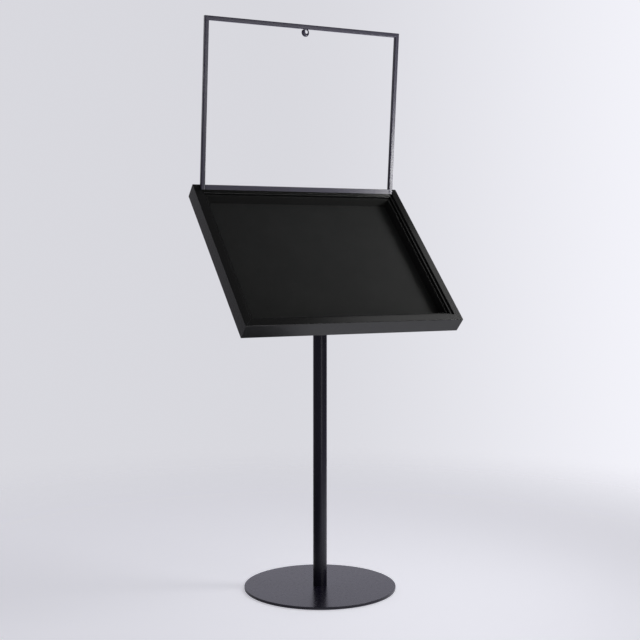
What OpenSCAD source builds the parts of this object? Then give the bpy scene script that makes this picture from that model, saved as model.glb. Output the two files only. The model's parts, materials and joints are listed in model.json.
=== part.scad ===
// Tilted display tray on a floor pedestal, with a sign hoop standing on its back rim.
// Origin: centre of the underside of the felt, on the floor. +Z up, the low front edge faces -Y.

/* [Base] */
// Diameter of the base disc
base_d = 350; // [300:1:430]
// Thickness of the base disc
base_t = 6; // [6:0.5:12]
// Chamfer round the top edge of the base disc
base_chamfer = 0.6; // [0.3:0.1:1.5]
// Thickness of the felt under the base
felt_t = 1.5; // [1:0.5:3]
// Distance from the rim of the disc to the edge of the felt
felt_inset = 6; // [3:1:20]

/* [Pole] */
// Outer diameter of the pole tube
pole_d = 32; // [28:1:38]
// Wall of the pole tube
pole_wall = 2; // [1.5:0.5:3]
// Length of the threaded plug in the foot of the pole
plug_l = 30; // [22:1:45]
// Radial gap between the plug and the pole tube
plug_gap = 0.05; // [0.02:0.01:0.1]
// Thread diameter of the screw that holds the pole to the base
base_screw_d = 10; // [8:1:12]
// How far the base screw reaches up into the plug
base_screw_reach = 20; // [12:1:21]

/* [Tray] */
// Width of the tray
tray_w = 530; // [430:1:650]
// Length of the tray along its slope
tray_l = 430; // [360:1:530]
// Depth of the tray from the rim to its underside
tray_t = 38; // [34:1:55]
// Tilt of the tray from level
tray_tilt = 45; // [35:0.5:50]
// Height of the middle of the rim above the floor
tray_h = 779; // [700:1:950]
// How far the middle of the rim lies in front of the pole
tray_fwd = 38; // [30:1:50]
// Sheet thickness of the rails and the pan
sheet_t = 1.5; // [1:0.25:2]
// Width of the rim
rim_w = 17; // [15:0.5:22]
// Width of the cover ledge inside the rim
ledge_w = 6; // [4:0.5:10]
// Depth of the cover ledge below the rim
ledge_d = 4.5; // [3:0.5:6]
// Width of the lip that carries the pan
lip_w = 12; // [10:1:16]
// Gap between the pan and the rails
pan_gap = 0.5; // [0.3:0.1:1]

/* [Rivets] */
// Shank diameter of the pan rivets
rivet_d = 4; // [3:0.5:5]
// Head diameter of the pan rivets
rivet_head_d = 8; // [6:0.5:9]
// Head height of the pan rivets
rivet_head_t = 1.4; // [1:0.1:2]
// Rivets along the front lip and the back lip
rivets_long = 4; // [2:1:6]
// Rivets along each side lip
rivets_side = 3; // [2:1:5]
// Radial gap round a shank in its hole
hole_gap = 0.1; // [0.05:0.05:0.2]

/* [Liner] */
// Gap between the liner and the rails
liner_gap = 0.5; // [0.3:0.1:1]
// Gap between the liner board and the pan
liner_seat_gap = 0.3; // [0.2:0.1:0.5]
// Thickness of the liner board
board_t = 3; // [2:0.5:4]
// Thickness of the felt on the liner board
liner_felt_t = 1.5; // [1:0.5:3]
// Thickness of the liner walls
liner_wall_t = 6; // [4:0.5:9]
// Depth of the top of the liner walls below the rim
liner_top_d = 9; // [7:0.5:12]

/* [Head] */
// Width of the head plate
plate_w = 170; // [150:1:220]
// Length of the head plate along the slope
plate_l = 150; // [140:1:200]
// Thickness of the head plate
plate_t = 5; // [4:0.5:6]
// Wall of the socket
socket_wall = 4; // [3:0.5:6]
// Radial gap between the pole and the socket
socket_gap = 0.1; // [0.05:0.05:0.15]
// Length of pole inside the socket
socket_grip = 45; // [35:1:60]
// Gap from the top of the pole to the head plate
pole_top_gap = 8; // [4:1:12]
// Thickness of the gussets
gusset_t = 5; // [4:0.5:8]
// Distance from the gusset tips to the ends of the head plate
gusset_inset = 4; // [2:1:10]
// Height of pole socket left bare below the gussets
gusset_clear = 12; // [8:1:14]
// Diameter of the socket set screws
set_screw_d = 6; // [5:1:8]
// Length of the socket set screws
set_screw_l = 7; // [6:0.5:8]
// Height of the set screws above the bottom of the socket
set_screw_h = 12; // [8:1:16]
// Thread diameter of the tray screws
tray_screw_d = 6; // [5:1:6]
// Distance from the tray screws to the edges of the head plate
tray_screw_inset = 18; // [14:1:24]

/* [Hoop] */
// Outer width of the hoop
hoop_w = 498; // [400:1:600]
// Height of the hoop, from the foot of its front face to its top
hoop_h = 384; // [300:1:460]
// Side of the square hoop tube
hoop_bar = 10; // [9:1:12]
// Wall of the hoop tube
hoop_wall = 1.5; // [1:0.25:2]
// Forward lean of the hoop from upright
hoop_lean = 4.7; // [0:0.1:8]
// Thread diameter of the hoop screws
hoop_screw_d = 3; // [2.5:0.5:3]
// Depth of the hoop screws in the foot bar
hoop_screw_reach = 4.5; // [3:0.5:4.5]

/* [Sign hook] */
// Thread diameter of the hook
hook_thread_d = 4; // [3:0.5:4]
// Diameter of the eye inside the hook
hook_eye_d = 7; // [6:0.2:9]
// Sideways distance from the thread to the middle of the eye
hook_eye_x = 3.6; // [3.4:0.1:5.5]
// Distance from the bar down to the middle of the eye
hook_eye_drop = 6.2; // [6.1:0.1:7.5]
// Radius of the hook where it is thickest
hook_thick_r = 4.5; // [3:0.1:4.6]
// Radius of the hook at its thinnest
hook_thin_r = 1.3; // [1:0.05:1.4]

/* [Hidden] */
$fn = 96;

satin_black = "#2c2c2f";
tray_black = "#252625";
zinc = "#9a9da0";
felt_black = "#1c1c1d";
board_brown = "#4b4038";

over = 1; // how far a cutting shape runs past what it cuts

// Base and pole
base_top = felt_t + base_t;
pole_r = pole_d / 2;
pole_bore_r = pole_r - pole_wall;
screw_head_r = base_screw_d;
screw_head_h = base_screw_d / 2;
base_socket_af = 0.6 * base_screw_d;
base_socket_depth = 0.3 * base_screw_d;

// Tray levels, measured down from the plane of the rim
lip_top = sheet_t - tray_t;
pan_top = lip_top + sheet_t;
plate_under = lip_top - plate_t;
board_under = pan_top + liner_seat_gap;
board_top = board_under + board_t;
liner_top = -liner_top_d;

// Widths of the rail section
inner_face = rim_w + ledge_w;
rail_w = inner_face + lip_w;

// Liner outline
liner_w = tray_w - 2 * (inner_face + liner_gap);
liner_l = tray_l - 2 * (inner_face + liner_gap);

// Height above the floor, at a distance back from the pole, of a plane at a depth below the rim
function plane_z(y, level) = tray_h + (y + tray_fwd) * tan(tray_tilt) + level / cos(tray_tilt);

// Head
plate_v = (tray_fwd + plate_under * sin(tray_tilt)) / cos(tray_tilt);
socket_r = pole_r + socket_gap + socket_wall;
pole_top = plane_z(-pole_r, plate_under) - pole_top_gap;
socket_z = pole_top - socket_grip;
gusset_z = socket_z + gusset_clear;
gusset_end = (plate_l / 2 - gusset_inset) * cos(tray_tilt);
nut_t = 0.8 * tray_screw_d;
nut_af = 1.7 * tray_screw_d;
washer_t = 0.25 * tray_screw_d;
tray_head_h = tray_screw_d / 2;
tray_screw_end = plate_under - washer_t - nut_t - 2;
tray_screw_points = [
  for (sx = [-1, 1], sy = [-1, 1])
    [sx * (plate_w / 2 - tray_screw_inset), plate_v + sy * (plate_l / 2 - tray_screw_inset)]
];

// Rivets sit in the middle of the lips
rivet_off_x = tray_w / 2 - inner_face - lip_w / 2;
rivet_off_y = tray_l / 2 - inner_face - lip_w / 2;
function spread(count, i) = (i + 0.5) / count * 2 - 1;
rivet_points = concat(
  [for (sy = [-1, 1], i = [0:rivets_long - 1]) [spread(rivets_long, i) * rivet_off_x, sy * rivet_off_y]],
  [for (sx = [-1, 1], i = [0:rivets_side - 1]) [sx * rivet_off_x, spread(rivets_side, i) * rivet_off_y]]
);

// Hoop: its front face stands on the inner edge of the back rim
hoop_v = tray_l / 2 - rim_w;
hoop_screw_back = 0.7 * hoop_bar;
hoop_screw_head_r = hoop_screw_d;
hoop_screw_head_t = 0.7 * hoop_screw_d;
hoop_screw_points = [for (k = [-3, -1, 1, 3]) k * hoop_w / 7];
hook_shank = 0.6 * hoop_bar;
insert_r = hook_thread_d / 2 + 1;
insert_flange_r = insert_r + 1.2;
insert_flange_t = 0.8;
collar_t = 1.2;
hook_arc = [175, 425];
hook_steps = 12;

// Places children in the tray's own frame: X across, Y up the slope, Z out of the rim
module on_tray() {
  translate([0, -tray_fwd, tray_h]) rotate([tray_tilt, 0, 0]) children();
}

// Places children in the hoop's frame: X across, Y through the bar, Z up the hoop
module on_hoop() {
  on_tray() translate([0, hoop_v, 0]) rotate([hoop_lean - tray_tilt, 0, 0]) children();
}

module ring(outer_r, inner_r, height) {
  difference() {
    cylinder(r = outer_r, h = height);
    translate([0, 0, -over]) cylinder(r = inner_r, h = height + 2 * over);
  }
}

module hex_prism(across_flats, height) {
  cylinder(d = across_flats / cos(30), h = height, $fn = 6);
}

// Upright shank with a countersunk head at its top, from the origin down
module countersunk(shank_r, head_r, head_h, length) {
  translate([0, 0, -head_h]) cylinder(r1 = shank_r, r2 = head_r, h = head_h);
  translate([0, 0, -length]) cylinder(r = shank_r, h = length);
}

// ---- Base and pole ----

module base_felt() {
  color(felt_black) cylinder(r = base_d / 2 - felt_inset, h = felt_t);
}

module base_disc() {
  r = base_d / 2;
  color(satin_black) difference() {
    translate([0, 0, felt_t]) rotate_extrude() polygon([
      [0, 0], [r, 0], [r, base_t - base_chamfer], [r - base_chamfer, base_t], [0, base_t]
    ]);
    translate([0, 0, felt_t - over]) cylinder(r = base_screw_d / 2 + hole_gap, h = base_t + 2 * over);
    translate([0, 0, felt_t])
      cylinder(r1 = screw_head_r + hole_gap, r2 = base_screw_d / 2 + hole_gap, h = screw_head_h);
  }
}

module base_screw() {
  color(zinc) difference() {
    translate([0, 0, felt_t]) mirror([0, 0, 1])
      countersunk(base_screw_d / 2, screw_head_r, screw_head_h, base_t + base_screw_reach);
    translate([0, 0, felt_t - over]) hex_prism(base_socket_af, base_socket_depth + over);
  }
}

module foot_plug() {
  color(zinc) translate([0, 0, base_top])
    ring(pole_bore_r - plug_gap, base_screw_d / 2 + hole_gap, plug_l);
}

module pole_tube() {
  color(satin_black) translate([0, 0, base_top]) ring(pole_r, pole_bore_r, pole_top - base_top);
}

// ---- Head ----

// Everything above the underside of the head plate, to cut the socket and the gussets to it
module above_plate() {
  on_tray() translate([-tray_w, -tray_l, plate_under]) cube([2 * tray_w, 2 * tray_l, 2 * tray_t + plate_t]);
}

module set_screw_places() {
  for (a = [45, 135]) rotate([0, 0, a]) translate([pole_r, 0, socket_z + set_screw_h]) rotate([0, 90, 0])
    children();
}

module head_socket() {
  length = plane_z(socket_r, plate_under) - socket_z;
  color(tray_black) difference() {
    translate([0, 0, socket_z]) ring(socket_r, pole_r + socket_gap, length);
    above_plate();
    set_screw_places() cylinder(r = set_screw_d / 2 + hole_gap, h = set_screw_l + over);
  }
}

module set_screws() {
  color(zinc) set_screw_places() difference() {
    cylinder(r = set_screw_d / 2, h = set_screw_l);
    translate([0, 0, set_screw_l / 2]) hex_prism(set_screw_d / 2, set_screw_l);
  }
}

module head_plate() {
  color(tray_black) on_tray() difference() {
    translate([-plate_w / 2, plate_v - plate_l / 2, plate_under]) cube([plate_w, plate_l, plate_t]);
    tray_screw_holes();
  }
}

// Triangular web in the plane through the pole, on the side given by the sign
module gusset(side) {
  tip = side * gusset_end;
  root = side * pole_r;
  color(tray_black) difference() {
    translate([-gusset_t / 2, 0, 0]) rotate([90, 0, 90]) linear_extrude(gusset_t) polygon([
      [root, gusset_z], [root, plane_z(root, plate_under) + over], [tip, plane_z(tip, plate_under) + over],
      [tip, plane_z(tip, plate_under) - sheet_t]
    ]);
    above_plate();
    translate([0, 0, socket_z]) cylinder(r = socket_r, h = plane_z(socket_r, plate_under));
  }
}

module rear_gusset() { gusset(1); }

module front_gusset() { gusset(-1); }

module tray_screw_holes() {
  for (p = tray_screw_points) translate([p.x, p.y, pan_top])
    countersunk(tray_screw_d / 2 + hole_gap, tray_screw_d + hole_gap, tray_head_h, tray_t);
}

module tray_screws() {
  color(zinc) on_tray() for (p = tray_screw_points) translate([p.x, p.y, pan_top]) difference() {
    countersunk(tray_screw_d / 2, tray_screw_d, tray_head_h, pan_top - tray_screw_end);
    translate([0, 0, -tray_head_h / 2]) hex_prism(0.6 * tray_screw_d, tray_head_h);
  }
}

module tray_washers() {
  color(zinc) on_tray() for (p = tray_screw_points) translate([p.x, p.y, plate_under - washer_t])
    ring(tray_screw_d, tray_screw_d / 2 + hole_gap, washer_t);
}

module tray_nuts() {
  color(zinc) on_tray() for (p = tray_screw_points) translate([p.x, p.y, plate_under - washer_t - nut_t])
    difference() {
      hex_prism(nut_af, nut_t);
      translate([0, 0, -over]) cylinder(r = tray_screw_d / 2 + hole_gap, h = nut_t + 2 * over);
    }
}

// ---- Tray ----

// Folded section: outer wall, rim, cover ledge, inner wall and the lip under the pan
module rail_section() {
  polygon([
    [0, -tray_t], [0, 0], [rim_w, 0], [rim_w, -ledge_d], [inner_face, -ledge_d], [inner_face, lip_top],
    [rail_w, lip_top], [rail_w, -tray_t], [inner_face - sheet_t, -tray_t],
    [inner_face - sheet_t, -ledge_d - sheet_t], [rim_w - sheet_t, -ledge_d - sheet_t],
    [rim_w - sheet_t, -sheet_t], [sheet_t, -sheet_t], [sheet_t, -tray_t]
  ]);
}

// Outline that a strip along one side keeps when its two ends are cut at 45 degrees
module mitre(length, offset, width) {
  translate([0, -offset]) polygon([
    [-length / 2, 0], [length / 2, 0], [length / 2 - width, width], [width - length / 2, width]
  ]);
}

// Rail along the side that faces the given turn, the front at 0
module rail(turn, length, offset) {
  color(tray_black) difference() {
    rotate([0, 0, turn]) intersection() {
      translate([0, -offset, 0]) rotate([90, 0, 90]) linear_extrude(length, center = true) rail_section();
      translate([0, 0, -tray_t - over]) linear_extrude(tray_t + 2 * over) mitre(length, offset, rail_w);
    }
    rivet_holes();
  }
}

module rivet_holes() {
  for (p = rivet_points) translate([p.x, p.y, -tray_t - over])
    cylinder(r = rivet_d / 2 + hole_gap, h = 2 * sheet_t + 2 * over);
}

module front_rail() { on_tray() rail(0, tray_w, tray_l / 2); }

module right_rail() { on_tray() rail(90, tray_l, tray_w / 2); }

module left_rail() { on_tray() rail(-90, tray_l, tray_w / 2); }

module back_rail() {
  color(tray_black) on_tray() difference() {
    rail(180, tray_w, tray_l / 2);
    hoop_screw_places() translate([0, 0, -sheet_t - over])
      cylinder(r = hoop_screw_d / 2 + hole_gap, h = sheet_t + 2 * over);
  }
}

module tray_pan() {
  w = tray_w - 2 * (inner_face + pan_gap);
  l = tray_l - 2 * (inner_face + pan_gap);
  color(tray_black) on_tray() difference() {
    translate([-w / 2, -l / 2, lip_top]) cube([w, l, sheet_t]);
    rivet_holes();
    tray_screw_holes();
  }
}

module pan_rivets() {
  color(zinc) on_tray() for (p = rivet_points) translate([p.x, p.y, -tray_t]) {
    cylinder(r = rivet_d / 2, h = 2 * sheet_t);
    translate([0, 0, -rivet_head_t]) cylinder(r1 = rivet_head_d / 2 - rivet_head_t, r2 = rivet_head_d / 2,
                                              h = rivet_head_t);
  }
}

// ---- Liner, which lifts out ----

module liner_board() {
  color(board_brown) on_tray()
    translate([-liner_w / 2, -liner_l / 2, board_under]) cube([liner_w, liner_l, board_t]);
}

module liner_felt() {
  w = liner_w - 2 * liner_wall_t;
  l = liner_l - 2 * liner_wall_t;
  color(felt_black) on_tray() translate([-w / 2, -l / 2, board_top]) cube([w, l, liner_felt_t]);
}

module liner_side(turn, length, offset) {
  color(felt_black) on_tray() rotate([0, 0, turn]) translate([0, 0, board_top])
    linear_extrude(liner_top - board_top) mitre(length, offset, liner_wall_t);
}

module liner_front() { liner_side(0, liner_w, liner_l / 2); }

module liner_back() { liner_side(180, liner_w, liner_l / 2); }

module liner_left() { liner_side(-90, liner_l, liner_w / 2); }

module liner_right() { liner_side(90, liner_l, liner_w / 2); }

// ---- Hoop ----

// Extrudes an outline drawn across and up the hoop, between two depths through its bar
module across_bar(from, to) {
  translate([0, to, 0]) rotate([90, 0, 0]) linear_extrude(to - from) children();
}

// Everything below the plane of the rim, to cut the feet of the hoop to it
module below_rim() {
  on_tray() translate([-tray_w, -tray_l, -tray_t]) cube([2 * tray_w, 2 * tray_l, tray_t]);
}

// Outline of a post, drawn in by a margin: straight at the foot, cut at 45 degrees at the top
module post_outline(side, margin) {
  outer = side * (hoop_w / 2 - margin);
  inner = side * (hoop_w / 2 - hoop_bar + margin);
  polygon([
    [outer, -hoop_bar], [outer, hoop_h - margin], [inner, hoop_h - hoop_bar + margin], [inner, -hoop_bar]
  ]);
}

module post(side) {
  color(satin_black) difference() {
    on_hoop() difference() {
      across_bar(0, hoop_bar) post_outline(side, 0);
      across_bar(hoop_wall, hoop_bar - hoop_wall) post_outline(side, hoop_wall);
    }
    below_rim();
  }
}

module hoop_left_post() { post(-1); }

module hoop_right_post() { post(1); }

module bar_outline(margin) {
  top = hoop_h - margin;
  low = hoop_h - hoop_bar + margin;
  polygon([
    [margin - hoop_w / 2, top], [hoop_w / 2 - margin, top],
    [hoop_w / 2 - hoop_bar + margin, low], [hoop_bar - margin - hoop_w / 2, low]
  ]);
}

module hoop_top_bar() {
  color(satin_black) on_hoop() difference() {
    across_bar(0, hoop_bar) bar_outline(0);
    across_bar(hoop_wall, hoop_bar - hoop_wall) bar_outline(hoop_wall);
    at_hook() translate([0, 0, -over]) cylinder(r = insert_r + hole_gap, h = hoop_wall + 2 * over);
  }
}

module hoop_foot_bar() {
  length = hoop_w - 2 * hoop_bar;
  color(satin_black) difference() {
    on_hoop() translate([-length / 2, 0, -hoop_bar]) cube([length, hoop_bar, 2 * hoop_bar]);
    below_rim();
    on_tray() hoop_screw_places() translate([0, 0, -over])
      cylinder(r = hoop_screw_d / 2 + hole_gap, h = hoop_screw_reach + over);
  }
}

module hoop_screw_places() {
  for (x = hoop_screw_points) translate([x, hoop_v + hoop_screw_back, 0]) children();
}

module hoop_screws() {
  color(zinc) on_tray() hoop_screw_places() {
    translate([0, 0, -sheet_t]) cylinder(r = hoop_screw_d / 2, h = sheet_t + hoop_screw_reach);
    translate([0, 0, -sheet_t - hoop_screw_head_t]) difference() {
      cylinder(r = hoop_screw_head_r, h = hoop_screw_head_t);
      translate([0, 0, -over]) hex_prism(hoop_screw_d * 0.8, over + hoop_screw_head_t / 2);
    }
  }
}

// ---- Sign hook, under the middle of the top bar ----

module at_hook() {
  translate([0, hoop_bar / 2, hoop_h - hoop_bar]) children();
}

module hook_insert() {
  color(zinc) on_hoop() at_hook() {
    ring(insert_r, hook_thread_d / 2 + hole_gap, hook_shank);
    translate([0, 0, -insert_flange_t])
      ring(insert_flange_r, hook_thread_d / 2 + hole_gap, insert_flange_t);
  }
}

// Radius of the hook's bar at an angle round its eye, thickest at the back and thin at the tip
function hook_r(a) = (hook_thick_r + hook_thin_r) / 2 + (hook_thick_r - hook_thin_r) / 2 * cos(a - 200);

function hook_point(a) = [
  hook_eye_x + (hook_eye_d / 2 + hook_r(a)) * cos(a), 0,
  -hook_eye_drop + (hook_eye_d / 2 + hook_r(a)) * sin(a)
];

function hook_angle(i) = hook_arc[0] + (hook_arc[1] - hook_arc[0]) * i / hook_steps;

module sign_hook() {
  color(satin_black) on_hoop() at_hook() {
    translate([0, 0, -insert_flange_t]) cylinder(r = hook_thread_d / 2, h = hook_shank + insert_flange_t);
    translate([0, 0, -insert_flange_t - collar_t]) cylinder(r = insert_flange_r, h = collar_t);
    for (i = [0:hook_steps - 1]) hull() for (k = [i, i + 1])
      translate(hook_point(hook_angle(k))) sphere(r = hook_r(hook_angle(k)), $fn = 16);
  }
}

base_felt();
base_disc();
base_screw();
foot_plug();
pole_tube();
head_socket();
set_screws();
head_plate();
rear_gusset();
front_gusset();
tray_screws();
tray_washers();
tray_nuts();
front_rail();
back_rail();
left_rail();
right_rail();
tray_pan();
pan_rivets();
liner_board();
liner_felt();
liner_front();
liner_back();
liner_left();
liner_right();
hoop_left_post();
hoop_right_post();
hoop_top_bar();
hoop_foot_bar();
hoop_screws();
hook_insert();
sign_hook();
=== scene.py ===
import json
import math

import bmesh
import bpy
from mathutils import Matrix, Vector, noise


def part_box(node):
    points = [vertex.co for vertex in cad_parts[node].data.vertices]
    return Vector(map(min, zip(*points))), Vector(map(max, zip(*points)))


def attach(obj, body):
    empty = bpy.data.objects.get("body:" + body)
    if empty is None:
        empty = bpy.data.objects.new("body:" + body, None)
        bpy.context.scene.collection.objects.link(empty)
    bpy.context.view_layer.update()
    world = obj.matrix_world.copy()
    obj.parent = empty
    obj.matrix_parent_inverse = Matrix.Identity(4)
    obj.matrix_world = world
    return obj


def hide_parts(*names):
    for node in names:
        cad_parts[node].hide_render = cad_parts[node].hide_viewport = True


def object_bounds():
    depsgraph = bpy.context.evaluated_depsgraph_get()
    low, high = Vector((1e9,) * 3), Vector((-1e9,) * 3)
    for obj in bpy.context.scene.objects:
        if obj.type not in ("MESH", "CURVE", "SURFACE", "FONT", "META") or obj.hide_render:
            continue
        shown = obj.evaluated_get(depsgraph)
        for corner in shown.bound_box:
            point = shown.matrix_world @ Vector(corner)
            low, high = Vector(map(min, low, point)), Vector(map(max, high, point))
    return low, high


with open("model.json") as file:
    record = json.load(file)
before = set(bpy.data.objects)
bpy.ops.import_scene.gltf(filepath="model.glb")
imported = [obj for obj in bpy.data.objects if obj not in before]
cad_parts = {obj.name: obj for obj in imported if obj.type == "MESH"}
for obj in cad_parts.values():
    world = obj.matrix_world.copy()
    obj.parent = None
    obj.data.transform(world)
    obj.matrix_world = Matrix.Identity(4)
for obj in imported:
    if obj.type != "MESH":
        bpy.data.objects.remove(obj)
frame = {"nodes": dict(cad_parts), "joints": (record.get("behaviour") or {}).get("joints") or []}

bl_info = {
    "name": "Tilted Tray Display Stand",
    "version": (1, 0, 0),
    "blender": (4, 5, 0),
    "location": "3D View > Sidebar > Stand",
    "description": "Builds the looks of a floor stand with a tilted tray and a sign hoop",
    "category": "Add Mesh",
}

MM = 0.001
CAD_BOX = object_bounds()
NODES = frame["nodes"]


# ---- Places and sizes read from the frame ----


def span(place, *names):
    """Lowest and highest corner of some CAD nodes, measured in another frame."""
    inverse = place.inverted()
    points = [inverse @ v.co for name in names for v in NODES[name].data.vertices]
    return (
        Vector(min(p[i] for p in points) for i in range(3)),
        Vector(max(p[i] for p in points) for i in range(3)),
    )


def lean_of(name):
    """How far a square bar along X is turned from upright, from its largest facet."""
    normal = max(NODES[name].data.polygons, key=lambda face: face.area).normal
    return math.atan2(*sorted((abs(normal.y), abs(normal.z))))


# The tray's frame: X across, Y up the slope, Z out of the rim, with the middle of the rim at zero
LIFT = Vector(frame["joints"][0]["axis"])
TURN = Matrix.Rotation(math.atan2(-LIFT.y, LIFT.z), 4, "X")
RAIL_LOW, RAIL_HIGH = span(TURN, "front_rail", "back_rail")
TRAY = TURN @ Matrix.Translation((0, (RAIL_LOW.y + RAIL_HIGH.y) / 2, RAIL_HIGH.z))
TRAY_W, TRAY_L, TRAY_T = RAIL_HIGH - RAIL_LOW
RAIL_W = span(TRAY, "front_rail")[1].y + TRAY_L / 2
RIM_W = TRAY_L / 2 - span(TRAY, "hoop_foot_bar")[0].y
PAN_LOW, PAN_HIGH = span(TRAY, "tray_pan")
SHEET_T = PAN_HIGH.z - PAN_LOW.z
PLATE_LOW = span(TRAY, "head_plate")[0]

# The hoop's frame: X across, Y through the bar, Z up the hoop,
# with zero at the foot of its front face
HOOP = Matrix.Translation(TRAY @ Vector((0, TRAY_L / 2 - RIM_W, 0))) @ Matrix.Rotation(
    lean_of("hoop_top_bar"), 4, "X"
)
BAR_LOW, BAR_HIGH = span(HOOP, "hoop_top_bar")
HOOP_W = BAR_HIGH.x - BAR_LOW.x
HOOP_BAR = BAR_HIGH.z - BAR_LOW.z


class StandSizes(bpy.types.PropertyGroup):
    """Sizes of the detail that the looks add to the frame."""

    ledge_d: bpy.props.FloatProperty(
        name="Ledge depth",
        description="Depth of the cover ledge below the rim",
        default=4.5 * MM, unit="LENGTH",
    )
    lip_w: bpy.props.FloatProperty(
        name="Lip width",
        description="Width of the lip under the pan",
        default=12 * MM, unit="LENGTH",
    )
    bend_r: bpy.props.FloatProperty(
        name="Bend radius",
        description="Outer radius of the folds of the rails",
        default=1.3 * MM, unit="LENGTH",
    )
    corner_r: bpy.props.FloatProperty(
        name="Corner radius",
        description="Rounding of the tray's upright corners",
        default=0.8 * MM, unit="LENGTH",
    )
    seam: bpy.props.FloatProperty(
        name="Seam",
        description="Half of the hairline left where two rails or bars meet",
        default=0.05 * MM,
        unit="LENGTH",
    )
    tube_r: bpy.props.FloatProperty(
        name="Tube radius",
        description="Rounding along the edges of the square tube",
        default=1.9 * MM,
        unit="LENGTH",
    )
    disc_r: bpy.props.FloatProperty(
        name="Disc radius",
        description="Rounding along the edges of the base disc",
        default=0.6 * MM, unit="LENGTH",
    )
    felt_r: bpy.props.FloatProperty(
        name="Felt radius",
        description="Rounding of the felt where it wraps the liner walls",
        default=1.6 * MM,
        unit="LENGTH",
    )
    weld_r: bpy.props.FloatProperty(
        name="Weld radius",
        description="Radius of the weld beads under the tray",
        default=2.2 * MM, unit="LENGTH",
    )
    eye_d: bpy.props.FloatProperty(
        name="Eye diameter",
        description="Diameter of the eye of the sign hook",
        default=7 * MM, unit="LENGTH",
    )
    eye_x: bpy.props.FloatProperty(
        name="Eye offset",
        description="Sideways distance from the hook's thread to its eye",
        default=3.6 * MM,
        unit="LENGTH",
    )
    eye_drop: bpy.props.FloatProperty(
        name="Eye drop",
        description="Distance from the bar down to the middle of the eye",
        default=6.2 * MM,
        unit="LENGTH",
    )
    hook_thick_r: bpy.props.FloatProperty(
        name="Thick radius",
        description="Radius of the hook where it is thickest",
        default=4.5 * MM, unit="LENGTH",
    )
    hook_thin_r: bpy.props.FloatProperty(
        name="Thin radius",
        description="Radius of the hook at its tip",
        default=1.3 * MM, unit="LENGTH",
    )


class StandColours(bpy.types.PropertyGroup):
    """Colours of the finishes."""

    pedestal: bpy.props.FloatVectorProperty(
        name="Pedestal", description="Satin powder coat of the base and the pole", subtype="COLOR",
        default=(0.0085, 0.0070, 0.0180),
    )
    hoop: bpy.props.FloatVectorProperty(
        name="Hoop", description="Satin powder coat of the sign hoop", subtype="COLOR",
        default=(0.040, 0.036, 0.062),
    )
    tray: bpy.props.FloatVectorProperty(
        name="Tray", description="Satin powder coat of the tray and its head", subtype="COLOR",
        default=(0.0050, 0.0053, 0.0048),
    )
    felt: bpy.props.FloatVectorProperty(
        name="Felt",
        description="Felt that lines the tray",
        subtype="COLOR", default=(0.0086, 0.0088, 0.0079),
    )
    board: bpy.props.FloatVectorProperty(
        name="Board",
        description="Fibreboard under the felt",
        subtype="COLOR", default=(0.16, 0.105, 0.066),
    )
    zinc: bpy.props.FloatVectorProperty(
        name="Zinc",
        description="Bright zinc plating of the screws",
        subtype="COLOR", default=(0.62, 0.63, 0.65),
    )
    floor: bpy.props.FloatVectorProperty(
        name="Floor", description="Pale studio floor", subtype="COLOR", default=(0.80, 0.80, 0.85)
    )


class StandCamera(bpy.types.PropertyGroup):
    """Where the camera stands."""

    focal: bpy.props.FloatProperty(
        name="Focal length",
        description="Focal length in millimetres on a 36 mm sensor",
        default=65.79,
    )
    azimuth: bpy.props.FloatProperty(
        name="Azimuth",
        description="Turn of the view from straight ahead",
        default=math.radians(26.66),
        subtype="ANGLE",
    )
    pitch: bpy.props.FloatProperty(
        name="Pitch",
        description="How far the camera looks down",
        default=math.radians(3.385), subtype="ANGLE",
    )
    distance: bpy.props.FloatProperty(
        name="Distance",
        description="Distance from the camera to the axis of the pole",
        default=2.678,
        unit="LENGTH",
    )
    aim_h: bpy.props.FloatProperty(
        name="Aim height",
        description="Height of the point that the camera looks at",
        default=0.6222,
        unit="LENGTH",
    )


def sizes():
    return bpy.context.scene.stand_sizes


# ---- Shader helpers ----


class Field:
    """A shader value that expressions can use."""

    def __init__(self, graph, socket):
        self.graph = graph
        self.socket = socket

    def math(self, operation, first, second):
        return self.graph.value("Math", {"operation": operation}, {0: first, 1: second})

    def __add__(self, other):
        return self.math("ADD", self, other)

    def __radd__(self, other):
        return self.math("ADD", other, self)

    def __sub__(self, other):
        return self.math("SUBTRACT", self, other)

    def __rsub__(self, other):
        return self.math("SUBTRACT", other, self)

    def __mul__(self, other):
        return self.math("MULTIPLY", self, other)

    def __rmul__(self, other):
        return self.math("MULTIPLY", other, self)

    def above(self, low, high):
        """0 below low and 1 above high, with a smooth step between."""
        return self.graph.value(
            "MapRange",
            {"interpolation_type": "SMOOTHSTEP"},
            {"Value": self, "From Min": low, "From Max": high},
        )


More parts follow.
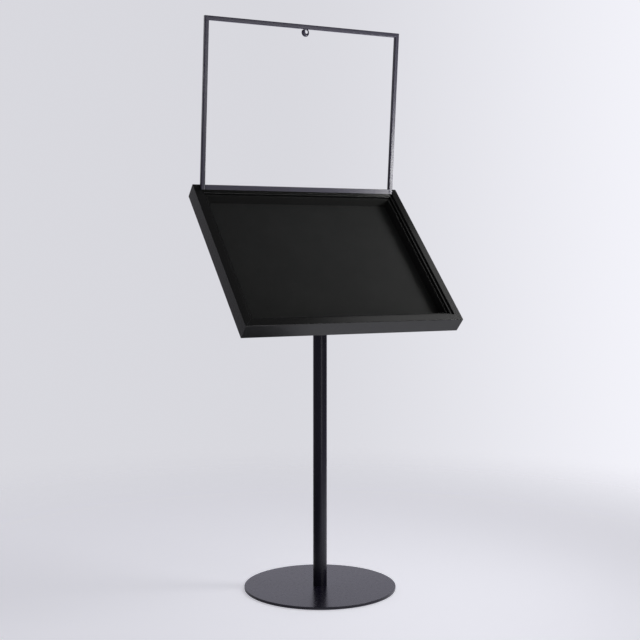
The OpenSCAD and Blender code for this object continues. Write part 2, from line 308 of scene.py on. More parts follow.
class Graph:
    """The nodes of one material or world."""

    def __init__(self, owner):
        owner.use_nodes = True
        self.tree = owner.node_tree
        self.tree.nodes.clear()

    def node(self, kind, settings=None, inputs=None):
        """Adds a node, makes its settings, and then fills or links its sockets."""
        node = self.tree.nodes.new("ShaderNode" + kind)
        for key, setting in (settings or {}).items():
            setattr(node, key, setting)
        for key, given in (inputs or {}).items():
            if isinstance(given, Field):
                self.tree.links.new(given.socket, node.inputs[key])
            else:
                node.inputs[key].default_value = given
        return node

    def value(self, kind, settings=None, inputs=None, output=0):
        return Field(self, self.node(kind, settings, inputs).outputs[output])

    def noise(self, place, scale, detail, roughness=0.5, stretch=None):
        if stretch is not None:
            place = self.value("Mapping", {}, {"Vector": place, "Scale": stretch})
        return self.value(
            "TexNoise",
            {},
            {"Vector": place, "Scale": scale, "Detail": detail, "Roughness": roughness},
        )

    def blend(self, factor, first, second):
        """Colour that goes from the first to the second as the factor goes from 0 to 1."""
        inputs = {"Factor": factor, 6: first, 7: second}
        return self.value("Mix", {"data_type": "RGBA"}, inputs, output=2)

    def bump(self, height, strength, distance):
        inputs = {"Height": height, "Strength": strength, "Distance": distance}
        return self.value("Bump", {}, inputs)

    def edges(self, radius):
        """1 along rounded outside edges and 0 on flats."""
        rounded = self.value("Bevel", {"samples": 4}, {"Radius": radius})
        flat = self.value("NewGeometry", output="Normal")
        same = self.value(
            "VectorMath", {"operation": "DOT_PRODUCT"}, {0: rounded, 1: flat}, output="Value"
        )
        return (1 - same).above(0.02, 0.12)

    def surface(self, **inputs):
        """Ends the graph in a Principled surface; the sockets' names have _ for a space."""
        shader = self.value(
            "BsdfPrincipled", {}, {key.replace("_", " "): given for key, given in inputs.items()}
        )
        self.node("OutputMaterial", {}, {"Surface": shader})


def opaque(colour, scale=1.0):
    return (*(min(1.0, channel * scale) for channel in colour), 1.0)


def powder_coat(name, colour, roughness, peel, haze=1.7):
    """Satin powder coat: orange peel, patches of handling haze, settled dust, and edges lightened
    partly as paint wear and partly as a painted highlight.
    """
    material = bpy.data.materials.new(name)
    graph = Graph(material)
    place = graph.value("TexCoord", output="Object")
    cloud = graph.noise(place, 7, detail=4, roughness=0.6)
    fleck = graph.noise(place, 1400, detail=1)
    # Painted highlight and wear: rounded edges are lightened in patches, partly as paint worn
    # through and partly standing in for the light that rounded edges catch
    rubbed_and_highlit_edges = graph.edges(1.2 * MM) * graph.noise(place, 55, detail=3).above(0.35, 0.62)
    up = graph.value(
        "SeparateXYZ", {}, {0: graph.value("NewGeometry", output="Normal")}, output="Z"
    ).above(0.55, 0.98)
    dust = up * graph.noise(place, 130, detail=5, roughness=0.7).above(0.50, 0.80)
    hazed = graph.blend(cloud.above(0.30, 0.80) * 0.30, opaque(colour), opaque(colour, haze))
    flecked = graph.blend(fleck.above(0.66, 0.74) * 0.35, hazed, opaque(colour, 3.0))
    dusted = graph.blend(dust * 0.03, flecked, (0.16, 0.155, 0.15, 1))
    # Edges blended towards pale grey: wear and a painted highlight together
    worn_and_highlit = graph.blend(rubbed_and_highlit_edges * 0.30, dusted, (0.13, 0.13, 0.14, 1))
    skin = graph.bump(graph.noise(place, 420, detail=1.5), peel, 0.25 * MM)
    graph.surface(
        Base_Color=worn_and_highlit,
        Roughness=roughness - 0.02 + cloud * 0.04 + dust * 0.10 + fleck * 0.03,
        IOR=1.5,
        Normal=skin,
    )
    return material


def plated(name, colour):
    """Bright zinc plating with a faint spangle, dull patches and a fine grain."""
    material = bpy.data.materials.new(name)
    graph = Graph(material)
    place = graph.value("TexCoord", output="Object")
    patch = graph.noise(place, 180, detail=3)
    spangle = graph.value("TexVoronoi", {}, {"Vector": place, "Scale": 900.0}, output="Color")
    grey = graph.value("RGBToBW", {}, {0: spangle})
    tone = graph.blend(patch.above(0.35, 0.70) * 0.5, opaque(colour), opaque(colour, 0.72))
    graph.surface(
        Base_Color=graph.blend(grey * 0.12, tone, opaque(colour, 1.25)),
        Metallic=1.0,
        Roughness=0.3 + patch * 0.12 + grey * 0.06,
        Normal=graph.bump(graph.noise(place, 2600, detail=2), 0.10, 0.05 * MM),
    )
    return material


def fibreboard(name, colour):
    """Pressed fibreboard: short tangled fibres and darker flecks."""
    material = bpy.data.materials.new(name)
    graph = Graph(material)
    place = graph.value("TexCoord", output="Object")
    strand = graph.noise(place, 700, detail=5, roughness=0.7, stretch=(1, 0.35, 0.35))
    fleck = graph.noise(place, 1700, detail=2).above(0.62, 0.74)
    tone = graph.blend(strand.above(0.30, 0.70), opaque(colour, 0.72), opaque(colour, 1.25))
    graph.surface(
        Base_Color=graph.blend(fleck * 0.6, tone, opaque(colour, 0.4)),
        Roughness=0.78 + strand * 0.12,
        Normal=graph.bump(strand, 0.25, 0.2 * MM),
    )
    return material


def felt(name, colour, nap=0.22):
    """Needled felt: tangled fibres, pale stray hairs, soft patches and a velvety sheen."""
    material = bpy.data.materials.new(name)
    graph = Graph(material)
    place = graph.value("TexCoord", output="Object")
    across = graph.noise(place, 850, detail=5, roughness=0.75, stretch=(1.0, 0.30, 0.30))
    along = graph.noise(place, 850, detail=5, roughness=0.75, stretch=(0.30, 1.0, 1.0))
    tangle = (across + along) * 0.5
    strand = graph.noise(place, 1500, detail=3, roughness=0.6, stretch=(0.35, 1.0, 0.6))
    hair = strand.above(0.60, 0.72)
    patch = graph.noise(place, 14, detail=4, roughness=0.6)
    tone = graph.blend(tangle.above(0.30, 0.70), opaque(colour, 0.55), opaque(colour, 1.6))
    soft = graph.blend(patch.above(0.35, 0.70) * 0.35, tone, opaque(colour, 1.9))
    lint = graph.noise(place, 2300, detail=0).above(0.80, 0.83)
    haired = graph.blend(hair * 0.35, soft, opaque(colour, 4.0))
    graph.surface(
        Base_Color=graph.blend(lint * 0.30, haired, (0.20, 0.20, 0.20, 1)),
        Roughness=0.86 + tangle * 0.10,
        Specular_IOR_Level=0.25,
        Sheen_Weight=nap,
        Sheen_Roughness=0.45,
        Sheen_Tint=(0.60, 0.62, 0.66, 1),
        Normal=graph.bump(tangle + hair * 0.3, 0.55, 0.7 * MM),
    )
    return material


FINISHES = {}
# Painted shade: the walls inside the tray get a darker copy of the floor's felt, standing in for
# the shade in the recess
WALL_SHADE = 0.65  # The felt of the walls is this much darker than the floor's


def finish(name):
    """The material of a finish, made once and then shared."""
    if name not in FINISHES:
        colours = bpy.context.scene.stand_colours
        makers = {
            "pedestal": lambda: powder_coat(
                "Pedestal powder coat", colours.pedestal, 0.24, peel=0.012, haze=1.12
            ),
            "hoop": lambda: powder_coat(
                "Hoop powder coat", colours.hoop, 0.28, peel=0.05, haze=1.2
            ),
            "tray": lambda: powder_coat("Tray powder coat", colours.tray, 0.22, peel=0.06),
            "zinc": lambda: plated("Zinc plating", colours.zinc),
            "felt": lambda: felt("Tray felt", colours.felt),
            # Painted shade: the same felt made darker and with less sheen for the walls in the
            # recess
            "shaded wall felt": lambda: felt(
                "Wall felt with painted shade", [channel * WALL_SHADE for channel in colours.felt], nap=0.08
            ),
            "base felt": lambda: felt("Base felt", colours.felt, nap=0.3),
            "board": lambda: fibreboard("Fibreboard", colours.board),
        }
        FINISHES[name] = makers[name]()
    return FINISHES[name]


# ---- Shape helpers ----

SHADING_BREAK = math.radians(50)  # Faces that meet at more than this keep a hard line between them
SHARP_FOLD = math.radians(32)  # Edges folded more than this are rounded
FLAT_FOLD = math.radians(0.5)  # Triangles folded less than this are one face
AT_AXIS = 0.001 * MM
SAME_POINT = 0.002 * MM
ON_FACE = 0.01 * MM
SLIVER = 0.02 * MM


def make_piece(name, bm, coat, stands_for, place=None, body="stand", outward=True):
    """Turns a bmesh into a piece in the row frame that rides a body and stands for CAD nodes."""
    if place is not None:
        bmesh.ops.transform(bm, matrix=place, verts=bm.verts)
    if outward:
        bmesh.ops.recalc_face_normals(bm, faces=bm.faces)
    mesh = bpy.data.meshes.new(name)
    bm.to_mesh(mesh)
    bm.free()
    mesh.shade_smooth()
    mesh.set_sharp_from_angle(angle=SHADING_BREAK)
    mesh.materials.append(finish(coat))
    piece = bpy.data.objects.new(name, mesh)
    bpy.context.collection.objects.link(piece)
    shading = piece.modifiers.new("Even shading", "WEIGHTED_NORMAL")
    shading.keep_sharp = True
    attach(piece, body)
    if stands_for:
        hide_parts(*stands_for)
    return piece


def round_edges(bm, edges, radius, segments):
    bmesh.ops.bevel(
        bm,
        geom=list(edges),
        offset=radius,
        offset_type="OFFSET",
        affect="EDGES",
        segments=segments,
        profile=0.5,
        material=-1,
        clamp_overlap=True,
    )


def sharp_edges(bm):
    return [e for e in bm.edges if len(e.link_faces) == 2 and e.calc_face_angle(0) > SHARP_FOLD]


def copy_of(name):
    """A CAD node's mesh with its triangles joined up again into whole faces."""
    bm = bmesh.new()
    bm.from_mesh(NODES[name].data)
    bmesh.ops.remove_doubles(bm, verts=bm.verts, dist=ON_FACE)
    bmesh.ops.dissolve_limit(bm, angle_limit=FLAT_FOLD, verts=bm.verts, edges=bm.edges)
    return bm


def soften(name, piece_name, coat, radius, segments=2, body="stand"):
    """A copy of a CAD node with its sharp edges broken, as machining and paint leave them."""
    bm = copy_of(name)
    round_edges(bm, sharp_edges(bm), radius, segments)
    return make_piece(piece_name, bm, coat, [name], body=body, outward=False)


def spin_profile(profile, steps, round_corners):
    """Spins an outline of (radius, height) points about Z into a closed solid.
    round_corners pairs the number of a point with the radius of its rounding."""
    bm = bmesh.new()
    points = [bm.verts.new((x, 0, z)) for x, z in profile]
    bm.faces.new(points)
    for i, radius in round_corners:
        round_corner(bm, [points[i]], radius)
    on_axis = [e for e in bm.edges if all(v.co.x < AT_AXIS for v in e.verts)]
    bmesh.ops.delete(bm, geom=bm.faces[:], context="FACES_ONLY")
    bmesh.ops.delete(bm, geom=on_axis, context="EDGES")
    bmesh.ops.spin(
        bm,
        geom=bm.edges[:] + bm.verts[:],
        cent=(0, 0, 0),
        axis=(0, 0, 1),
        dvec=(0, 0, 0),
        angle=math.tau,
        steps=steps,
        use_merge=True,
        use_duplicate=False,
    )
    bmesh.ops.remove_doubles(bm, verts=bm.verts, dist=SAME_POINT)
    bmesh.ops.recalc_face_normals(bm, faces=bm.faces)
    return bm


def round_corner(bm, corners, radius, segments=4):
    """Rounds corners of a flat outline."""
    bmesh.ops.bevel(
        bm,
        geom=corners,
        offset=radius,
        offset_type="OFFSET",
        affect="VERTICES",
        segments=segments,
        profile=0.5,
        material=-1,
        clamp_overlap=True,
    )


def cut(bm, point, outward):
    """Cuts off what lies outside a plane, closes the cut, and returns its edges."""
    made = bmesh.ops.bisect_plane(
        bm,
        geom=bm.verts[:] + bm.edges[:] + bm.faces[:],
        plane_co=point,
        plane_no=outward,
        clear_outer=True,
    )
    edges = [e for e in made["geom_cut"] if isinstance(e, bmesh.types.BMEdge)]
    bmesh.ops.contextual_create(bm, geom=edges)
    return edges


def sweep(bm, path, radii, across, segments, closed=False):
    """Sweeps a round section of changing radius along a path.
    across is a direction square to the path."""
    placed = None
    ring = []
    count = len(path)
    for i in range(count + (1 if closed else 0)):
        here = path[i % count]
        if closed:
            ahead = path[(i + 1) % count] - path[(i - 1) % count]
        else:
            ahead = path[min(i + 1, count - 1)] - path[max(i - 1, 0)]
        ahead = ahead.normalized()
        side = (across - ahead * across.dot(ahead)).normalized()
        turn = Matrix((side, ahead.cross(side), ahead)).transposed().to_4x4()
        place = Matrix.Translation(here) @ turn @ Matrix.Scale(radii[i % count], 4)
        if placed is None:
            made = bmesh.ops.create_circle(bm, segments=segments, radius=1.0, cap_ends=False)
            bmesh.ops.transform(bm, matrix=place, verts=made["verts"])
            ring = list({e for v in made["verts"] for e in v.link_edges})
            first = ring
        else:
            made = bmesh.ops.extrude_edge_only(bm, edges=ring)["geom"]
            verts = [g for g in made if isinstance(g, bmesh.types.BMVert)]
            bmesh.ops.transform(bm, matrix=place @ placed.inverted(), verts=verts)
            edges = [g for g in made if isinstance(g, bmesh.types.BMEdge)]
            ring = [e for e in edges if all(v in verts for v in e.verts)]
        placed = place
    if closed:
        bmesh.ops.remove_doubles(bm, verts=bm.verts, dist=SAME_POINT)
    else:
        for loop in (first, ring):
            bmesh.ops.contextual_create(bm, geom=loop)


# ---- Base and pole ----


class STAND_OT_base(bpy.types.Operator):
    """Base disc with softened edges, and the felt under it"""

    bl_idname = "stand.base"
    bl_label = "Base"

    def execute(self, context):
        low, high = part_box("base_disc")
        radius, rounding = high[0], sizes().disc_r
        bm = spin_profile(
            [(0, low[2]), (radius, low[2]), (radius, high[2]), (0, high[2])],
            steps=224,
            round_corners=[(1, rounding), (2, rounding)],
        )
        disc = make_piece("base_disc_coated", bm, "pedestal", ["base_disc"])

        low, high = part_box("base_felt")
        radius = high[0]
        bm = spin_profile(
            [(0, low[2]), (radius, low[2]), (radius, high[2]), (0, high[2])],
            steps=160,
            round_corners=[(1, 0.5 * MM)],
        )
        pad = make_piece("base_felt_pad", bm, "base felt", ["base_felt"])
        soften("base_screw", "base_screw_plated", "zinc", 0.4 * MM)
        return {"FINISHED"}


class STAND_OT_pole(bpy.types.Operator):
    """Pole tube with its foot plug"""

    bl_idname = "stand.pole"
    bl_label = "Pole"

    def execute(self, context):
        low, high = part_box("pole_tube")
        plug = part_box("foot_plug")[1]
        outer, bore = high[0], plug[0]
        edge = 0.5 * MM
        bm = spin_profile(
            [(bore, low[2]), (outer, low[2]), (outer, high[2]), (bore, high[2])],
            steps=128,
            round_corners=[(1, edge), (2, edge)],
        )
        make_piece("pole_tube_coated", bm, "pedestal", ["pole_tube"])
        soften("foot_plug", "foot_plug_turned", "zinc", 0.4 * MM)
        return {"FINISHED"}


# ---- Head under the tray ----

BEAD_STEP = 0.6 * MM
BEAD_RIPPLE = 2.4 * MM
BEAD_REACH = 0.97  # Share of a gusset's length that its top bead runs along


def plate_height(y):
    """Height of the sloping underside of the head plate at a distance behind the pole's axis."""
    face = TRAY @ Vector((0, 0, PLATE_LOW.z))
    up = TRAY.to_3x3() @ Vector((0, 0, 1))
    return face.z - (up.y * (y - face.y)) / up.z


def bead(bm, path, across, closed=False):
    """A painted weld bead with the ripples that the torch leaves."""
    radius = sizes().weld_r
    travelled = 0.0
    radii = []
    for i, here in enumerate(path):
        if i:
            travelled += (here - path[i - 1]).length
        radii.append(radius * (0.92 + 0.10 * math.cos(math.tau * travelled / BEAD_RIPPLE)))
    if not closed:
        for i, taper in ((0, 0.35), (1, 0.8), (-2, 0.8), (-1, 0.35)):
            radii[i] *= taper
    sweep(bm, path, radii, across, segments=10, closed=closed)


def straight(start, end):
    count = max(4, round((end - start).length / BEAD_STEP))
    return [start.lerp(end, i / count) for i in range(count + 1)]


class STAND_OT_head(bpy.types.Operator):
    """Socket, head plate and gussets with broken edges, and the welds that join them"""

    bl_idname = "stand.head"
    bl_label = "Head"

    def execute(self, context):
        soften("head_socket", "head_socket_coated", "tray", 0.6 * MM, segments=3)
        soften("head_plate", "head_plate_coated", "tray", 0.8 * MM, segments=3)
        soften("rear_gusset", "rear_gusset_coated", "tray", 0.6 * MM)
        soften("front_gusset", "front_gusset_coated", "tray", 0.6 * MM)
        soften("set_screws", "set_screws_plated", "zinc", 0.25 * MM)

        bm = bmesh.new()
        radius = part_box("head_socket")[1][0]
        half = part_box("rear_gusset")[1][0]
        steps = 240
        rim = [
            Vector((radius * math.cos(a), radius * math.sin(a), plate_height(radius * math.sin(a))))
            for a in (math.tau * i / steps for i in range(steps))
        ]
        bead(bm, rim, TRAY.to_3x3() @ Vector((0, 0, 1)), closed=True)
        for name in ("rear_gusset", "front_gusset"):
            g_low, g_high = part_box(name)
            sign = 1 if name == "rear_gusset" else -1
            root = sign * math.sqrt(radius**2 - half**2)
            tip = (g_high[1] if sign > 0 else g_low[1]) * BEAD_REACH
            for x in (-half, half):
                wall = straight(
                    Vector((x, root, g_low[2] + 3 * MM)),
                    Vector((x, root, plate_height(root) - 2 * MM)),
                )
                bead(bm, wall, Vector((1, 0, 0)))
                top = straight(
                    Vector((x, root, plate_height(root))),
                    Vector((x, tip, plate_height(tip))),
                )
                bead(bm, top, Vector((1, 0, 0)))
        make_piece("head_welds", bm, "tray", [])
        return {"FINISHED"}


# ---- Tray ----

INNER_BEND_R = 0.4 * MM
RAW_EDGE_R = 0.2 * MM  # Rounding of the sheet's cut edges


def rail_outline():
    """Points of the folded section, outer wall first,
    and the numbers of its outer and inner bends."""
    s = sizes()
    inner = RAIL_W - s.lip_w
    lip_top = PAN_LOW.z
    points = [
        (0, -TRAY_T),
        (0, 0),
        (RIM_W, 0),
        (RIM_W, -s.ledge_d),
        (inner, -s.ledge_d),
        (inner, lip_top),
        (RAIL_W, lip_top),
        (RAIL_W, -TRAY_T),
        (inner - SHEET_T, -TRAY_T),
        (inner - SHEET_T, -s.ledge_d - SHEET_T),
        (RIM_W - SHEET_T, -s.ledge_d - SHEET_T),
        (RIM_W - SHEET_T, -SHEET_T),
        (SHEET_T, -SHEET_T),
        (SHEET_T, -TRAY_T),
    ]
    return points, (1, 2, 4, 8, 10), (3, 5, 9, 11, 12)


def make_rail(name, node, turn, length, offset):
    """Folds one rail: a section with rounded bends, drawn out and mitred at both ends."""
    s = sizes()
    points, outer_bends, inner_bends = rail_outline()
    bm = bmesh.new()
    start = -length / 2
    corners = [bm.verts.new((start, x - offset, z)) for x, z in points]
    bm.faces.new(corners)
    outer = [corners[i] for i in outer_bends]
    inner = [corners[i] for i in inner_bends]
    raw = [corners[i] for i in (0, 6, 7, 13)]
    round_corner(bm, outer, s.bend_r, 5)
    round_corner(bm, inner, INNER_BEND_R, 2)
    round_corner(bm, raw, RAW_EDGE_R, 2)
    made = bmesh.ops.extrude_face_region(bm, geom=bm.faces[:])["geom"]
    moved = [g for g in made if isinstance(g, bmesh.types.BMVert)]
    bmesh.ops.translate(bm, verts=moved, vec=(length, 0, 0))
    ends = cut(bm, (start + s.seam, -offset, 0), (-1, 1, 0))
    ends += cut(bm, (-start - s.seam, -offset, 0), (1, 1, 0))
    upright = [e for e in ends if all(abs(v.co.y + offset) < ON_FACE for v in e.verts)]
    round_edges(bm, upright, s.corner_r, 3)
    bmesh.ops.dissolve_degenerate(bm, edges=bm.edges[:], dist=SLIVER)
    bmesh.ops.transform(bm, matrix=Matrix.Rotation(turn, 4, "Z"), verts=bm.verts)
    make_piece(name, bm, "tray", [node], place=TRAY)


class STAND_OT_tray(bpy.types.Operator):
    """Four folded rails, the pan between them, and what holds them together"""

    bl_idname = "stand.tray"
    bl_label = "Tray"

    def execute(self, context):
        quarter = math.pi / 2
        make_rail("front_rail_folded", "front_rail", 0, TRAY_W, TRAY_L / 2)
        make_rail("right_rail_folded", "right_rail", quarter, TRAY_L, TRAY_W / 2)
        make_rail("back_rail_folded", "back_rail", 2 * quarter, TRAY_W, TRAY_L / 2)
        make_rail("left_rail_folded", "left_rail", -quarter, TRAY_L, TRAY_W / 2)
        soften("tray_pan", "tray_pan_coated", "tray", 0.2 * MM)
        soften("pan_rivets", "pan_rivets_coated", "tray", 0.3 * MM, segments=3)
        soften("tray_screws", "tray_screws_plated", "zinc", 0.2 * MM)
        soften("tray_washers", "tray_washers_plated", "zinc", 0.25 * MM)
        soften("tray_nuts", "tray_nuts_plated", "zinc", 0.3 * MM)
        return {"FINISHED"}


# ---- Liner ----

MITRE_SEAM = 0.15 * MM  # Half of the seam where two felt-wrapped walls meet
FELT_WAVE = 0.14 * MM
FELT_WAVE_EDGE = 8 * MM  # The waves die away over this distance from the felt's edges
FELT_SUNK = 0.16 * MM  # Keeps the highest wave below the space that the felt has


def make_liner_wall(name, node, turn, length, offset):
    """A strip of board wrapped in felt that is darkened as painted shade, with its ends mitred."""
    low, high = span(TRAY, node)
    wall = min(high.x - low.x, high.y - low.y)
    bm = bmesh.new()
    corners = [
        bm.verts.new((-length / 2, y - offset, z))
        for y, z in ((0, low.z), (0, high.z), (wall, high.z), (wall, low.z))
    ]
    bm.faces.new(corners)
    round_corner(bm, corners[1:3], sizes().felt_r, 5)
    made = bmesh.ops.extrude_face_region(bm, geom=bm.faces[:])["geom"]
    moved = [g for g in made if isinstance(g, bmesh.types.BMVert)]
    bmesh.ops.translate(bm, verts=moved, vec=(length, 0, 0))
    cut(bm, (MITRE_SEAM - length / 2, -offset, 0), (-1, 1, 0))
    cut(bm, (length / 2 - MITRE_SEAM, -offset, 0), (1, 1, 0))
    bmesh.ops.transform(bm, matrix=Matrix.Rotation(turn, 4, "Z"), verts=bm.verts)
    # The walls take the darker felt: painted shade
    make_piece(name, bm, "shaded wall felt", [node], place=TRAY, body="liner")


class STAND_OT_liner(bpy.types.Operator):
    """Liner that lifts out: board, felt-wrapped walls and the felt floor"""

    bl_idname = "stand.liner"
    bl_label = "Liner"

    def execute(self, context):
        low, high = span(TRAY, "liner_board")
        width, length = high.x - low.x, high.y - low.y
        quarter = math.pi / 2
        make_liner_wall("liner_front_wrapped", "liner_front", 0, width, length / 2)
        make_liner_wall("liner_right_wrapped", "liner_right", quarter, length, width / 2)
        make_liner_wall("liner_back_wrapped", "liner_back", 2 * quarter, width, length / 2)
        make_liner_wall("liner_left_wrapped", "liner_left", -quarter, length, width / 2)
        board = soften("liner_board", "liner_board_sawn", "board", 0.4 * MM, body="liner")

        low, high = span(TRAY, "liner_felt")
        width, length, thick = high - low
        bm = bmesh.new()
        made = bmesh.ops.create_grid(bm, x_segments=90, y_segments=72, size=0.5)
        bmesh.ops.scale(bm, vec=(width, length, 1), verts=made["verts"])
        bmesh.ops.translate(bm, vec=(0, (low.y + high.y) / 2, low.z), verts=made["verts"])
        raised = bmesh.ops.extrude_face_region(bm, geom=bm.faces[:])["geom"]
        top = [g for g in raised if isinstance(g, bmesh.types.BMVert)]
        bmesh.ops.translate(bm, verts=top, vec=(0, 0, thick))
        for v in top:
            inside = min(width / 2 - abs(v.co.x), length / 2 - abs(v.co.y))
            wave = noise.noise(v.co * 22) + 0.5 * noise.noise(v.co * 61)
            v.co.z += FELT_WAVE * wave * min(1.0, inside / FELT_WAVE_EDGE) - FELT_SUNK
        under = [f for f in bm.faces if f.calc_center_median().z < low.z + 0.1 * MM]
        bmesh.ops.reverse_faces(bm, faces=under)
        sheet = make_piece("liner_felt_sheet", bm, "felt", ["liner_felt"], place=TRAY, body="liner")
        return {"FINISHED"}


# ---- Hoop ----


def make_bar(name, node, low, high, cuts):
    """A square bar with rounded edges between two corners of the hoop's frame, cut by planes."""
    bm = bmesh.new()
    bmesh.ops.create_cube(bm, size=1.0)
    bmesh.ops.scale(bm, vec=high - low, verts=bm.verts)
    bmesh.ops.translate(bm, vec=(low + high) / 2, verts=bm.verts)
    spans = high - low
    along = max(range(3), key=lambda i: spans[i])
    long_edges = [
        e for e in bm.edges
        if abs((e.verts[0].co - e.verts[1].co)[along]) > 0.9 * spans[along]
    ]
    round_edges(bm, long_edges, sizes().tube_r, 4)
    for point, outward in cuts:
        cut(bm, point, outward)
    make_piece(name, bm, "hoop", [node], place=HOOP)


class STAND_OT_hoop(bpy.types.Operator):
    """Square tube hoop: two posts, a top bar and a foot bar screwed to the back rail"""

    bl_idname = "stand.hoop"
    bl_label = "Hoop"

    def execute(self, context):
        top, half, seam = BAR_HIGH.z, HOOP_W / 2, sizes().seam
        rim = HOOP.inverted() @ TRAY
        rim_point = rim @ Vector((0, TRAY_L / 2 - RIM_W, 0))
        rim_down = rim.to_3x3() @ Vector((0, 0, -1))
        for side, name in ((-1, "left"), (1, "right")):
            x = sorted((side * half, side * (half - HOOP_BAR)))
            make_bar(
                f"hoop_{name}_post_tube",
                f"hoop_{name}_post",
                Vector((x[0], 0, -HOOP_BAR)),
                Vector((x[1], HOOP_BAR, top)),
                [((side * half, 0, top - seam), (-side, 0, 1)), (rim_point, rim_down)],
            )
        make_bar(
            "hoop_top_bar_tube",
            "hoop_top_bar",
            Vector((-half, 0, top - HOOP_BAR)),
            Vector((half, HOOP_BAR, top)),
            [((-half + seam, 0, top), (-1, 0, -1)), ((half - seam, 0, top), (1, 0, -1))],
        )
        soften("hoop_foot_bar", "hoop_foot_bar_coated", "hoop", 0.7 * MM, segments=3)
        soften("hoop_screws", "hoop_screws_plated", "zinc", 0.2 * MM)
        return {"FINISHED"}


# ---- Sign hook ----

COLLAR_T = 1.2 * MM
HOOK_START = math.radians(175)  # Angles round the eye, from its right
HOOK_TIP = math.radians(425)
HOOK_THICKEST = math.radians(200)
END_ROUNDING = [math.radians(angle) for angle in (20, 40, 60, 75, 85)]


class STAND_OT_sign_hook(bpy.types.Operator):
    """Sign hook: a collar under its threaded insert and a bar that thins round its eye"""

    bl_idname = "stand.sign_hook"
    bl_label = "Sign hook"

    def execute(self, context):
        s = sizes()
        soften("hook_insert", "hook_insert_plated", "zinc", 0.15 * MM)
        under = Vector((0, HOOP_BAR / 2, BAR_LOW.z))
        flange = span(HOOP, "hook_insert")
        collar_r = flange[1].x
        collar_top = flange[0].z - under.z
        collar_low = collar_top - COLLAR_T

        bm = spin_profile(
            [(0, collar_low), (collar_r, collar_low), (collar_r, collar_top), (0, collar_top)],
            steps=40,
            round_corners=[(1, 0.4 * MM), (2, 0.2 * MM)],
        )
        path, radii = [], []
        middle = (s.hook_thick_r + s.hook_thin_r) / 2
        swing = (s.hook_thick_r - s.hook_thin_r) / 2
        steps = 60
        for i in range(steps + 1):
            a = HOOK_START + (HOOK_TIP - HOOK_START) * i / steps
            radius = middle + swing * math.cos(a - HOOK_THICKEST)
            out = s.eye_d / 2 + radius
            path.append(Vector((s.eye_x + out * math.cos(a), 0, -s.eye_drop + out * math.sin(a))))
            radii.append(radius)
        ends = []
        for end, inner in ((0, 1), (-1, -2)):
            away = (path[end] - path[inner]).normalized()
            ends.append([
                (path[end] + away * radii[end] * math.sin(t), radii[end] * math.cos(t))
                for t in END_ROUNDING
            ])
        head = list(reversed(ends[0]))
        path = [p for p, _ in head] + path + [p for p, _ in ends[1]]
        radii = [r for _, r in head] + radii + [r for _, r in ends[1]]
        sweep(bm, path, radii, Vector((0, 1, 0)), segments=24)
        place = HOOP @ Matrix.Translation(under)
        make_piece("sign_hook_cast", bm, "hoop", ["sign_hook"], place=place)
        return {"FINISHED"}


# ---- Stage ----

FLOOR_R = 2.6
FADE_FROM, FADE_TO = 0.7, 2.0  # Distances from the pole between which the floor fades out
FLOOR_GLOW = 0.51


def area_light(name, place, aim, size, power, along=(0, 0, 1)):
    """A soft box that points at a spot. size is its length along a direction and its width."""
    light = bpy.data.lights.new(name, "AREA")
    light.shape = "RECTANGLE"
    light.size, light.size_y = size
    light.energy = power
    lamp = bpy.data.objects.new(name, light)
    away = (Vector(place) - Vector(aim)).normalized()
    side = (Vector(along) - away * away.dot(Vector(along))).normalized()
    turn = Matrix((side, away.cross(side), away)).transposed().to_4x4()
    lamp.matrix_world = Matrix.Translation(place) @ turn
    lamp.visible_camera = False
    bpy.context.collection.objects.link(lamp)


def studio_sky():
    """Pale surroundings: brightest low down behind the stand, darker overhead and in front."""
    world = bpy.data.worlds.new("Studio")
    graph = Graph(world)
    way = graph.value("TexCoord", output="Generated")
    parts = graph.node("SeparateXYZ", {}, {0: way})
    x, y, z = (Field(graph, parts.outputs[i]) for i in range(3))
    behind = (y * 0.89 + x * 0.45).above(0.60, 0.92)
    sky = 0.11 + behind * (1 - z.above(0.15, 0.75)) * 0.62
    level = sky + (1 - z.above(-0.38, -0.14)) * (0.75 - sky)
    glow = graph.value(
        "CombineXYZ", {}, {0: level * 0.97, 1: level * 0.955, 2: level * (1 + behind * 0.12)}
    )
    side = 0.69 + (x * 0.89 - y * 0.45).above(-0.06, 0.36) * 0.235
    wall = graph.value("CombineXYZ", {}, {0: side, 1: side, 2: side * 1.065})
    shown = graph.value("LightPath", output="Is Camera Ray")
    ambient = graph.value("Background", {}, {"Color": glow, "Strength": 1.0})
    backdrop = graph.value("Background", {}, {"Color": wall, "Strength": 1.0})
    mixed = graph.value("MixShader", {}, {0: shown, 1: ambient, 2: backdrop})
    graph.node("OutputWorld", {}, {"Surface": mixed})
    bpy.context.scene.world = world


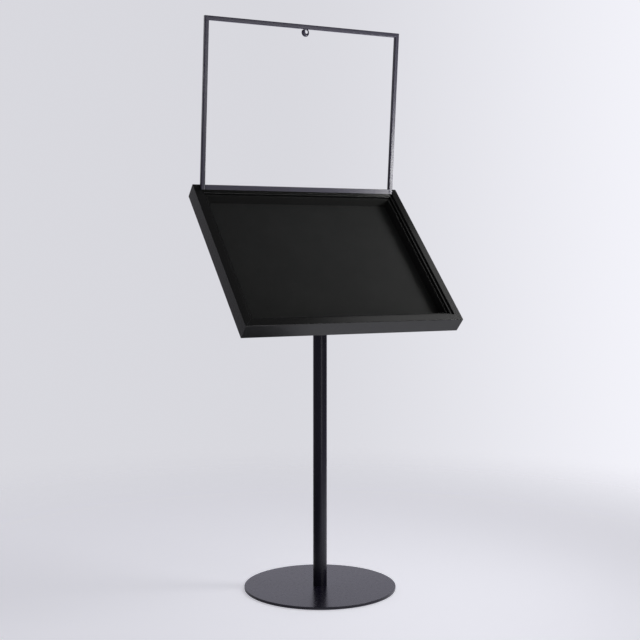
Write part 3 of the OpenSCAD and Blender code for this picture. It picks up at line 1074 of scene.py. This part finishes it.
def studio_floor():
    """Pale floor that fades out round the stand and is clear from below.
    Glossy surfaces mirror its left side dark, as they would mirror an unlit room."""
    bm = bmesh.new()
    bmesh.ops.create_circle(bm, cap_ends=True, segments=96, radius=FLOOR_R)
    bmesh.ops.translate(bm, vec=(0, 0, CAD_BOX[0][2] - 0.1 * MM), verts=bm.verts)
    mesh = bpy.data.meshes.new("studio_floor")
    bm.to_mesh(mesh)
    bm.free()
    floor = bpy.data.objects.new("studio_floor", mesh)
    bpy.context.collection.objects.link(floor)
    material = bpy.data.materials.new("Studio floor")
    graph = Graph(material)
    place = graph.value("TexCoord", output="Object")
    reach = graph.value("VectorMath", {"operation": "LENGTH"}, {0: place}, output="Value")
    mottle = graph.noise(place, 3, detail=3)
    colours = bpy.context.scene.stand_colours
    mirrored = graph.value("LightPath", output="Is Glossy Ray")
    across = graph.value("SeparateXYZ", {}, {0: place}, output="X")
    unlit = (1 - across.above(-0.50, 0.25)) * mirrored
    pale = graph.blend(mottle * 0.3, opaque(colours.floor), opaque(colours.floor, 0.96))
    paint = graph.value(
        "BsdfPrincipled",
        {},
        {
            "Base Color": graph.blend(unlit, pale, opaque(colours.floor, 0.1)),
            "Roughness": 0.7,
            "Specular IOR Level": 0.2,
            "Emission Color": graph.blend(unlit, (0.93, 0.93, 1.0, 1), (0.05, 0.05, 0.05, 1)),
            "Emission Strength": FLOOR_GLOW,
        },
    )
    clear = graph.value("BsdfTransparent")
    hidden = graph.value("NewGeometry", output="Backfacing")
    faded = reach.above(FADE_FROM, FADE_TO)
    gone = graph.value("Math", {"operation": "MAXIMUM"}, {0: hidden, 1: faded})
    mixed = graph.value("MixShader", {}, {0: gone, 1: paint, 2: clear})
    graph.node("OutputMaterial", {}, {"Surface": mixed})
    mesh.materials.append(material)


class STAND_OT_stage(bpy.types.Operator):
    """Floor, surroundings, soft boxes and the camera"""

    bl_idname = "stand.stage"
    bl_label = "Stage"

    def execute(self, context):
        studio_floor()
        studio_sky()
        middle = (0.0, 0.0, 0.7)
        up_slope = TRAY.to_3x3() @ Vector((0, 1, 0))
        tray_middle = TRAY @ Vector((0, 0, 0))
        key_place = TRAY @ Vector((0.62, -0.12, 0.34))
        top_place = TRAY @ Vector((0.78, 0.40, 0.75))
        area_light("key_box", key_place, tray_middle, (0.2, 0.2), 3.6, up_slope)
        area_light("top_box", top_place, tray_middle, (0.6, 0.5), 0.72, up_slope)
        area_light("front_box", (1.00, -2.3, 1.14), middle, (0.22, 1.0), 5.8)
        area_light("pole_box", (0.0, -0.95, 0.36), (0, 0, 0.36), (0.5, 0.2), 0.34)
        area_light("hoop_box", (-1.0, 1.4, 1.5), (-0.25, 0.1, 1.15), (0.5, 0.6), 1.1)

        view = context.scene.stand_camera
        camera_data = bpy.data.cameras.new("camera")
        camera_data.sensor_width = 36
        camera_data.lens = view.focal
        camera = bpy.data.objects.new("camera", camera_data)
        ahead = Vector((
            math.sin(view.azimuth) * math.cos(view.pitch),
            math.cos(view.azimuth) * math.cos(view.pitch),
            -math.sin(view.pitch),
        ))
        camera.location = Vector((0, 0, view.aim_h)) - ahead * view.distance
        camera.rotation_euler = (math.pi / 2 - view.pitch, 0, -view.azimuth)
        context.collection.objects.link(camera)
        context.scene.camera = camera
        context.scene.view_settings.view_transform = "Standard"
        return {"FINISHED"}


class STAND_PT_panel(bpy.types.Panel):
    """Lists the pieces of the stand"""

    bl_label = "Display stand"
    bl_idname = "STAND_PT_panel"
    bl_space_type = "VIEW_3D"
    bl_region_type = "UI"
    bl_category = "Stand"

    def draw(self, context):
        for group_name in GROUPS:
            group = getattr(context.scene, group_name)
            box = self.layout.box()
            for key in group.__annotations__:
                box.prop(group, key)
        for operator in OPERATORS:
            self.layout.operator(operator.bl_idname)


GROUPS = {"stand_sizes": StandSizes, "stand_colours": StandColours, "stand_camera": StandCamera}
OPERATORS = (
    STAND_OT_base,
    STAND_OT_pole,
    STAND_OT_head,
    STAND_OT_tray,
    STAND_OT_liner,
    STAND_OT_hoop,
    STAND_OT_sign_hook,
    STAND_OT_stage,
)


def register():
    for kind in (*GROUPS.values(), *OPERATORS, STAND_PT_panel):
        bpy.utils.register_class(kind)
    for name, group in GROUPS.items():
        setattr(bpy.types.Scene, name, bpy.props.PointerProperty(type=group))


def unregister():
    for name in GROUPS:
        delattr(bpy.types.Scene, name)
    for kind in reversed((*GROUPS.values(), *OPERATORS, STAND_PT_panel)):
        bpy.utils.unregister_class(kind)


def main():
    register()
    for operator in OPERATORS:
        group, name = operator.bl_idname.split(".")
        getattr(getattr(bpy.ops, group), name)()


if __name__ == "__main__":
    main()
